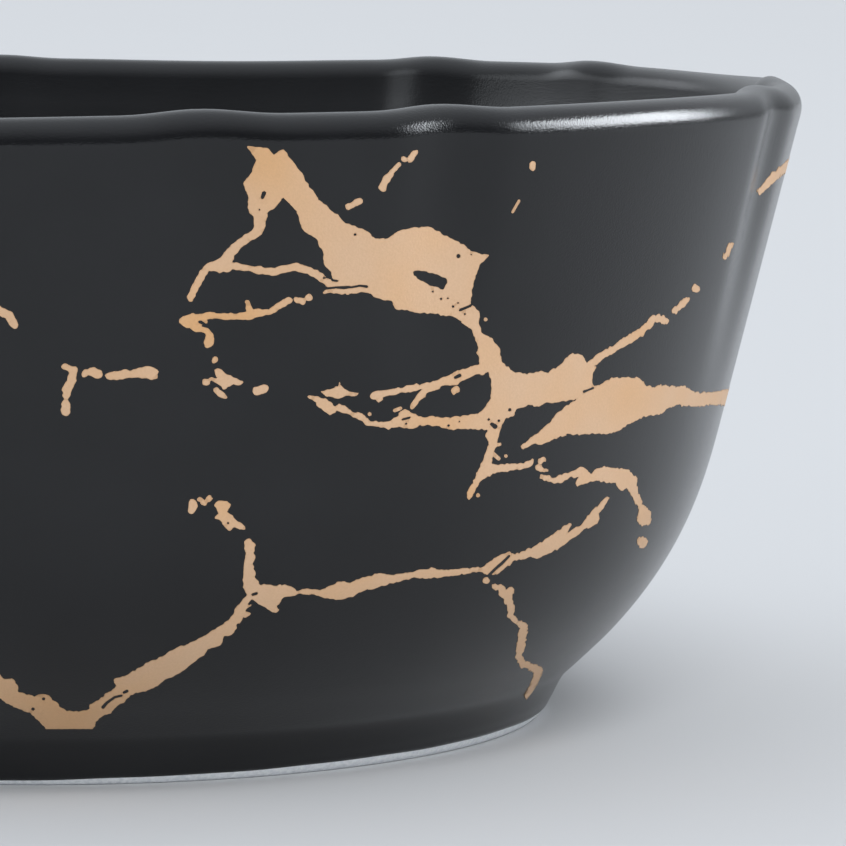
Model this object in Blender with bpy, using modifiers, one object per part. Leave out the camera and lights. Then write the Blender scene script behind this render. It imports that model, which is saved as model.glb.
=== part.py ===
"""A lobed black soup bowl with gilt veins: the fired body, as one solid of real size.

Metres, +Z up. The origin is the middle of the foot, on the table. The side with the
main gilt patches faces -Y. The gilding is a film of colour, so it adds nothing here.
"""

import math

import bpy

MM = 0.001

# The outside of the body
HEIGHT = 86.0 * MM
RIM_RADIUS = 99.65 * MM
WALL_LEAN = 0.256
BELLY_TOP = 40.0 * MM
BELLY_FULLNESS = 2.6
BELLY_FOOT_RADIUS = 68.7 * MM
FOOT_HEIGHT = 7.0 * MM
FOOT_RADIUS = 66.9 * MM
FOOT_TAPER = 3.0 * MM
FOOT_FLICK = 10
FOOT_EDGE = 0.4 * MM

# The rolled lip
LIP_THICKNESS = 6.8 * MM
LIP_DROP = 4.8 * MM
LIP_PROUD = 0.45 * MM
LIP_BULGE_LEVEL = 2.9 * MM

# The hollow
WALL_THICKNESS = 4.8 * MM
WELL_FLOOR = 9.0 * MM
WELL_FLOOR_RADIUS = 50.0 * MM
WELL_CURVE_TOP = 46.0 * MM
WELL_ROUNDNESS = 2 / 3

# The underside
FOOT_RING_WIDTH = 5.6 * MM
RECESS_DEPTH = 3.0 * MM
RECESS_FILLET = 2.4 * MM

# The lobes: six narrow ones stand like corners between six wide ones. They were
# pressed by hand, so the corners are not quite evenly spaced. Angles from the front.
CORNERS = [math.radians(degrees) for degrees in (18.5, 78.3, 136.0, 196.0, 257.0, 317.0)]
NARROW_LOBE = math.radians(18.5)
CREASE_DEPTH = 1.1 * MM
CREASE_HALF_WIDTH = 8.5 * MM
CREASE_LOW_END = 38.0 * MM
CREASE_CREST = 0.9 * MM
CREST_HALF_WIDTH = 9.5 * MM
WIDE_LOBE_DIP = 0.3 * MM

# How fine the facets are
WIDE_COLUMNS = 11
NARROW_COLUMNS = 7
WALL_ROWS = 7
BELLY_ROWS = 6
WELL_ROWS = 8
LIP_TURNS = [math.radians(degrees) for degrees in (0, 28, 55, 82, 110, 135, 160)]
BELLY_CROWDING = 1.25
CREASE_CROWDING = 0.11

GLAZE_COLOUR = (0.030, 0.031, 0.035, 1.0)
GLAZE_ROUGHNESS = 0.38


def wall_line(z):
    """Radius of the straight, outward-leaning wall at height z."""
    wall_top = HEIGHT - LIP_DROP
    return RIM_RADIUS - LIP_PROUD - WALL_LEAN * (wall_top - z)


def outside_radius(z):
    """The wall line, drawn in below BELLY_TOP to meet the top of the foot."""
    if z >= BELLY_TOP:
        return wall_line(z)
    drawn_in = wall_line(FOOT_HEIGHT) - BELLY_FOOT_RADIUS
    share = (BELLY_TOP - z) / (BELLY_TOP - FOOT_HEIGHT)
    return wall_line(z) - drawn_in * share**BELLY_FULLNESS


def spread(count):
    """Shares from 0 to 1, without the first."""
    return [(i + 1) / count for i in range(count)]


def underside():
    """From the axis out to the foot's lower edge: a shallow recess, then the foot ring."""
    edge = FOOT_RADIUS - FOOT_TAPER
    ring_inside = edge - FOOT_RING_WIDTH
    points = [(0.0, RECESS_DEPTH)]
    for turn in (0.0, math.pi / 4, math.pi / 2):
        inward = RECESS_FILLET * (1 - math.sin(turn))
        points.append((ring_inside - inward, FOOT_EDGE + (RECESS_DEPTH - FOOT_EDGE) * math.cos(turn)))
    points.append((ring_inside + FOOT_EDGE, 0.0))
    points.append((edge - FOOT_EDGE, 0.0))
    return points


def outside():
    """From the foot's lower edge up to the underside of the lip."""
    points = []
    for share in (0.05, 0.25, 0.55, 0.85):
        taper = FOOT_TAPER * (1 - share) ** 2
        flick = (BELLY_FOOT_RADIUS - FOOT_RADIUS) * share**FOOT_FLICK
        points.append((FOOT_RADIUS - taper + flick, FOOT_HEIGHT * share))
    for share in [0.0] + spread(BELLY_ROWS):
        z = FOOT_HEIGHT + (BELLY_TOP - FOOT_HEIGHT) * share**BELLY_CROWDING
        points.append((outside_radius(z), z))
    wall_top = HEIGHT - LIP_DROP
    for share in spread(WALL_ROWS):
        z = BELLY_TOP + (wall_top - BELLY_TOP) * share
        points.append((outside_radius(z), z))
    return points


def lip():
    """Over the rolled lip, from its neck outside to the hollow."""
    bulge = HEIGHT - LIP_BULGE_LEVEL
    low = HEIGHT - LIP_DROP
    points = []
    for share in (1 / 3, 2 / 3):
        out = LIP_PROUD * math.sin(share * math.pi / 2)
        points.append((wall_line(low) + out, low + (bulge - low) * share))
    half = LIP_THICKNESS / 2
    for turn in LIP_TURNS:
        across = RIM_RADIUS - half + half * math.cos(turn)
        points.append((across, bulge + LIP_BULGE_LEVEL * math.sin(turn)))
    return points


def hollow():
    """Down the inner wall and across the floor of the well to the axis."""
    inner_top = HEIGHT - LIP_DROP
    points = []
    for share in [0.0] + spread(WALL_ROWS - 2):
        z = inner_top + (WELL_CURVE_TOP - inner_top) * share
        points.append((wall_line(z) - WALL_THICKNESS, z))
    drawn_in = wall_line(WELL_FLOOR) - WALL_THICKNESS - WELL_FLOOR_RADIUS
    rise = WELL_CURVE_TOP - WELL_FLOOR
    for share in spread(WELL_ROWS):
        turn = share * math.pi / 2
        z = WELL_CURVE_TOP - rise * math.sin(turn) ** WELL_ROUNDNESS
        shrink = drawn_in * (1 - max(0.0, math.cos(turn)) ** WELL_ROUNDNESS)
        points.append((wall_line(z) - WALL_THICKNESS - shrink, z))
    points.append((0.0, WELL_FLOOR))
    return points


def section():
    """The whole closed section, from the axis underneath round to the axis in the well."""
    return underside() + outside() + lip() + hollow()


def crease_angles():
    """Angles of the creases, one on each side of each corner."""
    angles = []
    for corner in CORNERS:
        angles.append(corner - NARROW_LOBE / 2)
        angles.append(corner + NARROW_LOBE / 2)
    return angles


def lobes():
    """Start and width of each lobe, narrow and wide in turn."""
    creases = crease_angles()
    pairs = []
    for i, start in enumerate(creases):
        end = creases[(i + 1) % len(creases)]
        pairs.append((start, (end - start) % math.tau))
    return pairs


def column_angles():
    """One angle for each column of faces, crowded towards the creases."""
    columns = []
    for i, (start, width) in enumerate(lobes()):
        count = NARROW_COLUMNS if i % 2 == 0 else WIDE_COLUMNS
        for step in range(count):
            share = step / count
            crowded = share - CREASE_CROWDING * math.sin(math.tau * share)
            columns.append(start + width * crowded)
    return columns


def nearness(angle, half_width):
    """How near an angle is to a crease: 1 on it, 0 at half_width round the rim or further."""
    nearest = 0.0
    for crease in crease_angles():
        turn = (angle - crease + math.pi) % math.tau - math.pi
        away = abs(turn) * RIM_RADIUS / half_width
        if away < 1:
            nearest = max(nearest, (1 - away * away) ** 2)
    return nearest


def wide_middle(angle):
    """1 in the middle of a wide lobe, fading to 0 at its two creases."""
    for start, width in lobes()[1::2]:
        share = (angle - start) % math.tau / width
        if share < 1:
            return math.sin(math.pi * share) ** 2
    return 0.0


def lobed(radius, angle, z):
    """Radius and height of a point of the turned shape once the lobes are pressed in."""
    rise = min(1.0, max(0.0, (z - CREASE_LOW_END) / (HEIGHT - CREASE_LOW_END)))
    faded = rise * rise * (3 - 2 * rise)
    pinch = CREASE_DEPTH * faded * nearness(angle, CREASE_HALF_WIDTH)
    wave = CREASE_CREST * nearness(angle, CREST_HALF_WIDTH) - WIDE_LOBE_DIP * wide_middle(angle)
    return radius - pinch, z + wave * rise**3


def turned_body(name, points, columns):
    """Turns the section round the axis with a Screw modifier."""
    mesh = bpy.data.meshes.new(name)
    rings = [(radius, 0.0, z) for radius, z in reversed(points)]
    mesh.from_pydata(rings, [(i, i + 1) for i in range(len(rings) - 1)], [])
    body = bpy.data.objects.new(name, mesh)
    screw = body.modifiers.new("turn", "SCREW")
    screw.steps = columns
    screw.render_steps = columns
    screw.use_merge_vertices = True
    screw.merge_threshold = 0.00001
    screw.use_smooth_shade = True
    return body


def main():
    for old in list(bpy.data.objects):
        bpy.data.objects.remove(old)
    collection = bpy.data.collections.new("soup_bowl")
    bpy.context.scene.collection.children.link(collection)

    angles = column_angles()
    turned = turned_body("turned", section(), len(angles))
    collection.objects.link(turned)
    graph = bpy.context.evaluated_depsgraph_get()
    mesh = bpy.data.meshes.new_from_object(turned.evaluated_get(graph))
    bpy.data.objects.remove(turned)

    step = math.tau / len(angles)
    for vertex in mesh.vertices:
        x, y, z = vertex.co
        radius = math.hypot(x, y)
        column = round(math.atan2(y, x) / step) % len(angles)
        angle = angles[column]
        radius, z = lobed(radius, angle, z)
        vertex.co = (radius * math.sin(angle), -radius * math.cos(angle), z)

    body = bpy.data.objects.new("bowl", mesh)
    collection.objects.link(body)
    mesh.name = "bowl"
    mesh.shade_smooth()
    mesh.set_sharp_from_angle(angle=math.radians(50))

    glaze = bpy.data.materials.new("black_glaze")
    glaze.use_nodes = True
    shader = glaze.node_tree.nodes["Principled BSDF"]
    shader.inputs["Base Color"].default_value = GLAZE_COLOUR
    shader.inputs["Roughness"].default_value = GLAZE_ROUGHNESS
    shader.inputs["Metallic"].default_value = 0.0
    mesh.materials.clear()
    mesh.materials.append(glaze)


main()
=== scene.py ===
import sys
import math

import bpy
import numpy as np
from mathutils import Matrix, Vector
from mathutils.geometry import delaunay_2d_cdt


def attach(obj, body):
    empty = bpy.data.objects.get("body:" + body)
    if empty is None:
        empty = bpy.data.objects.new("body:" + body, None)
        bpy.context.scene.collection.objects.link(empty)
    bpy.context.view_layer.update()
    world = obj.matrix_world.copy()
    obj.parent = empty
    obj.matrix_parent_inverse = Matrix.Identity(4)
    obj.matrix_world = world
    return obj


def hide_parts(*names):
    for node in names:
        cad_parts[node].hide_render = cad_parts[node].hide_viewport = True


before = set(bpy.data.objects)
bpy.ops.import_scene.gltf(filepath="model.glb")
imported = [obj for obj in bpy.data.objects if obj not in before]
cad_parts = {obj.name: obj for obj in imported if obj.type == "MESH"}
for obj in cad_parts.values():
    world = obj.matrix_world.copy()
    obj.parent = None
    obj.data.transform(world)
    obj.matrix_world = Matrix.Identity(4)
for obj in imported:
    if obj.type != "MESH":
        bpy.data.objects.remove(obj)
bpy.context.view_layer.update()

mm = 0.001


# The camera of the photo. Its focal length and image size are in photo pixels.
photoCamera = {
    "place": (0.0, -0.75, 0.11635),
    "yaw": math.radians(3.658),
    "pitch": math.radians(5.868),
    "roll": math.radians(-0.143),
    "focalPixels": 5473.5,
    "imagePixels": 846,
    "sensorMm": 36.0,
}


def cameraAxes():
    yaw, pitch, roll = photoCamera["yaw"], photoCamera["pitch"], photoCamera["roll"]
    forward = Vector((math.sin(yaw) * math.cos(pitch), math.cos(yaw) * math.cos(pitch), -math.sin(pitch)))
    level = Vector((math.cos(yaw), -math.sin(yaw), 0.0))
    upright = level.cross(forward)
    right = level * math.cos(roll) + upright * math.sin(roll)
    up = upright * math.cos(roll) - level * math.sin(roll)
    return right, up, forward


def addCamera():
    right, up, forward = cameraAxes()
    bpy.ops.object.camera_add(location=photoCamera["place"])
    camera = bpy.context.object
    turn = Matrix((right, up, -forward)).transposed()
    camera.matrix_world = Matrix.Translation(photoCamera["place"]) @ turn.to_4x4()
    camera.data.sensor_width = photoCamera["sensorMm"]
    camera.data.lens = photoCamera["focalPixels"] / photoCamera["imagePixels"] * photoCamera["sensorMm"]
    camera.data.clip_start = 0.01
    bpy.context.scene.camera = camera


# The glazed body.
bowlBody = {
    "height": 86.26 * mm,
    "rimRadius": 99.49 * mm,
    "wallLean": 0.256,
    "wallTopRadius": 99.26 * mm,
    "wallTopLevel": 81.8 * mm,
    "bellyTop": 40.0 * mm,
    "bellyFullness": 2.6,
    "bellyFootRadius": 68.7 * mm,
    "footHeight": 7.0 * mm,
    "footRadius": 66.9 * mm,
    "footTaper": 3.0 * mm,
    "footFlick": 6,
    "junctionFrom": 4.0 * mm,
    "junctionTo": 11.0 * mm,
    "junctionSoftening": 10,
    "footEdge": 0.4 * mm,
    "footRingWidth": 5.6 * mm,
    "footRows": (
        0.04, 0.07, 0.088, 0.1, 0.12, 0.15, 0.18, 0.23, 0.3, 0.4, 0.5, 0.6, 0.7, 0.78, 0.84, 0.89, 0.93, 0.97
    ),
    "recessDepth": 3.0 * mm,
    "recessFillet": 2.4 * mm,
    "recessRings": (0.25, 0.5, 0.75, 0.9),
    "bellyRows": 24,
    "bellyCrowding": 1.25,
    "wallRows": 20,
    "bareRingInside": 57.0 * mm,
    "glazedFootInside": 62.0 * mm,
    "glazeLine": 0.62 * mm,
    "glazeRoll": 0.10 * mm,
    "glazeRollLevel": 1.6,  # both in glaze lines
    "glazeRollReach": 0.6,
    "glazeWave": 0.07 * mm,
    "glazeRipples": [(5, 1.0, 1.0), (13, 0.4, 0.6), (31, 0.0, 0.35)],  # times round, start, height
    "glazeClimb": 0.75 * mm,
    "climbMiddle": math.radians(47),
    "lipNeck": 80.3 * mm,
    "lipBulge": 83.1 * mm,
    "lipNeckPull": 1.2 * mm,
    "lipBulgePull": 0.8 * mm,
    "lipThickness": 5.6 * mm,
    "lipTurn": math.radians(172),
    "lipNeckRows": 12,
    "lipTopRows": 16,
    "wallThickness": 4.8 * mm,
    "thickeningFrom": 58.0 * mm,
    "wellFloor": 9.0 * mm,
    "wellFloorRadius": 50.0 * mm,
    "wellCurveTop": 46.0 * mm,
    "wellRoundness": 2 / 3,
    "innerWallRows": 16,
    "wellRows": 20,
    "wellFloorRings": (0.9, 0.7, 0.45, 0.2, 0.0),
    "corners": [math.radians(degrees) for degrees in (18.5, 78.3, 136.0, 196.0, 257.0, 317.0)],
    "narrowLobe": math.radians(18.5),
    "creaseDepth": 1.1 * mm,
    "creaseHalfWidth": 10.2 * mm,
    "creaseLowEnd": 38.0 * mm,
    "creaseCrest": 0.6 * mm,
    "crestHalfWidth": 11.4 * mm,
    "wideLobeDips": [dip * mm for dip in (-0.12, 0.38, 0.53, 0.53, 0.43, 0.33)],
    "spinSteps": 420,
    "weld": 0.01 * mm,
}


def wallLine(z):
    return bowlBody["wallTopRadius"] - bowlBody["wallLean"] * (bowlBody["wallTopLevel"] - z)


def outsideRadius(z):
    top, low = bowlBody["bellyTop"], bowlBody["footHeight"]
    drawnIn = wallLine(low) - bowlBody["bellyFootRadius"]
    share = max(0.0, (top - z) / (top - low))
    return wallLine(z) - drawnIn * share ** bowlBody["bellyFullness"]


def steps(count, first=1):
    return [i / count for i in range(first, count + 1)]


def undersidePoints():
    edge = bowlBody["footRadius"] - bowlBody["footTaper"]
    ringInside = edge - bowlBody["footRingWidth"]
    depth, soft = bowlBody["recessDepth"], bowlBody["footEdge"]
    points = [(0.0, depth)]
    points += [(ringInside * share, depth) for share in bowlBody["recessRings"]]
    for share in steps(6, 0):
        turn = share * math.pi / 2
        inward = bowlBody["recessFillet"] * (1 - math.sin(turn))
        points.append((ringInside - inward, soft + (depth - soft) * math.cos(turn)))
    for share in steps(3):
        turn = share * math.pi / 2
        points.append((ringInside + soft * (1 - math.cos(turn)), soft * (1 - math.sin(turn))))
    points.append((edge - soft, 0.0))
    points.append((edge - soft * 0.35, soft * 0.1))
    return points


def outsidePoints():
    footHeight, footRadius = bowlBody["footHeight"], bowlBody["footRadius"]
    points = []
    rollLevel = bowlBody["glazeLine"] * bowlBody["glazeRollLevel"]
    rollReach = bowlBody["glazeLine"] * bowlBody["glazeRollReach"]
    for share in bowlBody["footRows"]:
        z = footHeight * share
        taper = bowlBody["footTaper"] * (1 - share) ** 2
        flick = (bowlBody["bellyFootRadius"] - footRadius) * share ** bowlBody["footFlick"]
        away = (z - rollLevel) / rollReach
        roll = bowlBody["glazeRoll"] * max(0.0, 1 - away * away)
        points.append((footRadius - taper + flick + roll, z))
    for share in steps(bowlBody["bellyRows"], 0):
        z = footHeight + (bowlBody["bellyTop"] - footHeight) * share ** bowlBody["bellyCrowding"]
        points.append((outsideRadius(z), z))
    for softening in range(bowlBody["junctionSoftening"]):
        before = list(points)
        for i in range(1, len(points) - 1):
            radius, z = before[i]
            if bowlBody["junctionFrom"] < z < bowlBody["junctionTo"]:
                share = (z - before[i - 1][1]) / (before[i + 1][1] - before[i - 1][1])
                straight = before[i - 1][0] * (1 - share) + before[i + 1][0] * share
                points[i] = ((radius + straight) / 2, z)
    for share in steps(bowlBody["wallRows"]):
        z = bowlBody["bellyTop"] + (bowlBody["lipNeck"] - bowlBody["bellyTop"]) * share
        points.append((outsideRadius(z), z))
    return points


def lipPoints():
    # a curve swells out from the wall, then half an ellipse goes over the top
    neck, bulge, rim = bowlBody["lipNeck"], bowlBody["lipBulge"], bowlBody["rimRadius"]
    pull = bowlBody["lipNeckPull"]
    curve = [
        (wallLine(neck), neck),
        (wallLine(neck) + bowlBody["wallLean"] * pull, neck + pull),
        (rim, bulge - bowlBody["lipBulgePull"]),
        (rim, bulge),
    ]
    points = []
    for t in steps(bowlBody["lipNeckRows"]):
        weights = ((1 - t) ** 3, 3 * t * (1 - t) ** 2, 3 * t * t * (1 - t), t**3)
        points.append(tuple(sum(w * p[axis] for w, p in zip(weights, curve)) for axis in (0, 1)))
    half = bowlBody["lipThickness"] / 2
    over = bowlBody["height"] - bulge
    for share in steps(bowlBody["lipTopRows"]):
        turn = bowlBody["lipTurn"] * share
        points.append((rim - half + half * math.cos(turn), bulge + over * math.sin(turn)))
    return points


def hollowPoints():
    inner, top = bowlBody["wallThickness"], bowlBody["wellCurveTop"]
    points = []
    lipLevel, thickening = bowlBody["wallTopLevel"], bowlBody["thickeningFrom"]
    for share in steps(bowlBody["innerWallRows"], 0):
        z = lipLevel + (top - lipLevel) * share
        rise = max(0.0, (z - thickening) / (lipLevel - thickening))
        extra = (bowlBody["lipThickness"] - inner) * rise * rise * (3 - 2 * rise)
        points.append((wallLine(z) - inner - extra, z))
    floor, roundness = bowlBody["wellFloor"], bowlBody["wellRoundness"]
    drawnIn = wallLine(floor) - inner - bowlBody["wellFloorRadius"]
    for share in steps(bowlBody["wellRows"]):
        turn = share * math.pi / 2
        z = top - (top - floor) * math.sin(turn) ** roundness
        shrink = drawnIn * (1 - max(0.0, math.cos(turn)) ** roundness)
        points.append((wallLine(z) - inner - shrink, z))
    points += [(bowlBody["wellFloorRadius"] * share, floor) for share in bowlBody["wellFloorRings"]]
    return points


def nearness(angle, halfWidth):
    # 1 on a crease between two lobes, 0 at halfWidth from it
    nearest = np.full_like(angle, math.tau)
    for corner in bowlBody["corners"]:
        for side in (-0.5, 0.5):
            turn = (angle - corner - side * bowlBody["narrowLobe"] + math.pi) % math.tau - math.pi
            nearest = np.minimum(nearest, np.abs(turn))
    away = np.minimum(1.0, nearest * bowlBody["rimRadius"] / halfWidth)
    return (1 - away * away) ** 3


def wideLobeDip(angle):
    corners = bowlBody["corners"]
    dip = np.zeros_like(angle)
    for i, corner in enumerate(corners):
        start = corner + bowlBody["narrowLobe"] / 2
        width = (corners[(i + 1) % len(corners)] - corner) % math.tau - bowlBody["narrowLobe"]
        share = (angle - start) % math.tau / width
        depth = bowlBody["wideLobeDips"][i] * np.sin(np.pi * np.clip(share, 0, 1)) ** 2
        dip = np.where(share < 1, depth, dip)
    return dip


def lobed(radius, angle, z):
    # presses the lobes into the turned shape; everything is an array
    rise = np.clip((z - bowlBody["creaseLowEnd"]) / (bowlBody["height"] - bowlBody["creaseLowEnd"]), 0, 1)
    faded = rise * rise * (3 - 2 * rise)
    pinch = bowlBody["creaseDepth"] * faded * nearness(angle, bowlBody["creaseHalfWidth"])
    wave = bowlBody["creaseCrest"] * nearness(angle, bowlBody["crestHalfWidth"])
    return radius - pinch, z + (wave - wideLobeDip(angle)) * rise**3


def placed(radius, angle, z):
    # angle 0 is the front, which faces -Y, and it grows towards +X
    radius, z = lobed(radius, angle, z)
    return np.stack([radius * np.sin(angle), -radius * np.cos(angle), z], axis=-1)


def drawProfile(name, points):
    # a plane merged to one vertex, then pulled out point by point from the underside round to the well
    bpy.ops.object.select_all(action="DESELECT")
    bpy.ops.mesh.primitive_plane_add(size=mm, location=(0, 0, 0))
    profile = bpy.context.object
    profile.name = profile.data.name = name
    bpy.ops.object.mode_set(mode="EDIT")
    bpy.ops.mesh.select_all(action="SELECT")
    bpy.ops.mesh.merge(type="CENTER")
    bpy.ops.transform.translate(value=(points[0][0], 0, points[0][1]))
    for (r, z), (nextR, nextZ) in zip(points, points[1:]):
        bpy.ops.mesh.extrude_region_move(TRANSFORM_OT_translate={"value": (nextR - r, 0, nextZ - z)})
    bpy.ops.object.mode_set(mode="OBJECT")
    return profile


def spinBowl(bowl):
    bpy.ops.object.mode_set(mode="EDIT")
    bpy.ops.mesh.select_all(action="SELECT")
    bpy.ops.mesh.spin(steps=bowlBody["spinSteps"], angle=math.tau, center=(0, 0, 0), axis=(0, 0, 1))
    bpy.ops.mesh.select_all(action="SELECT")
    bpy.ops.mesh.remove_doubles(threshold=bowlBody["weld"])
    bpy.ops.mesh.normals_make_consistent(inside=False)
    bpy.ops.object.mode_set(mode="OBJECT")


def bareClayFaces(mesh):
    # the foot's edge below the glaze, outside the recess
    faces = []
    for face in mesh.polygons:
        reach = math.hypot(face.center.x, face.center.y)
        if face.center.z < bowlBody["glazeLine"] and reach > bowlBody["bareRingInside"]:
            faces.append(face.index)
    return faces


def pressBowl(mesh):
    # lets the glaze line wander round the foot, then presses the lobes in
    places = np.empty(len(mesh.vertices) * 3)
    mesh.vertices.foreach_get("co", places)
    x, y, z = places.reshape(-1, 3).T
    angle = np.arctan2(x, -y)
    radius = np.hypot(x, y)
    line, foot = bowlBody["glazeLine"], bowlBody["footHeight"]
    nearLine = np.where(z < line, z / line, np.clip((foot - z) / (foot - line), 0, 1))
    nearLine = nearLine * (radius > bowlBody["glazedFootInside"])
    wave = sum(height * np.sin(angle * times + start) for times, start, height in bowlBody["glazeRipples"])
    climb = bowlBody["glazeClimb"] * (0.5 + 0.5 * np.cos(2 * (angle - bowlBody["climbMiddle"]))) ** 2
    moved = z + nearLine * (bowlBody["glazeWave"] * wave + climb)
    taper = bowlBody["footTaper"] * ((1 - z / foot) ** 2 - (1 - moved / foot) ** 2)
    mesh.vertices.foreach_set("co", placed(radius + taper, angle, moved).ravel())
    mesh.update()


def addBowl():
    points = undersidePoints() + outsidePoints() + lipPoints() + hollowPoints()
    bowl = drawProfile("glazedBowl", points)
    spinBowl(bowl)
    bareFaces = bareClayFaces(bowl.data)
    pressBowl(bowl.data)
    bpy.ops.object.shade_smooth()
    return bowl, bareFaces


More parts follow.
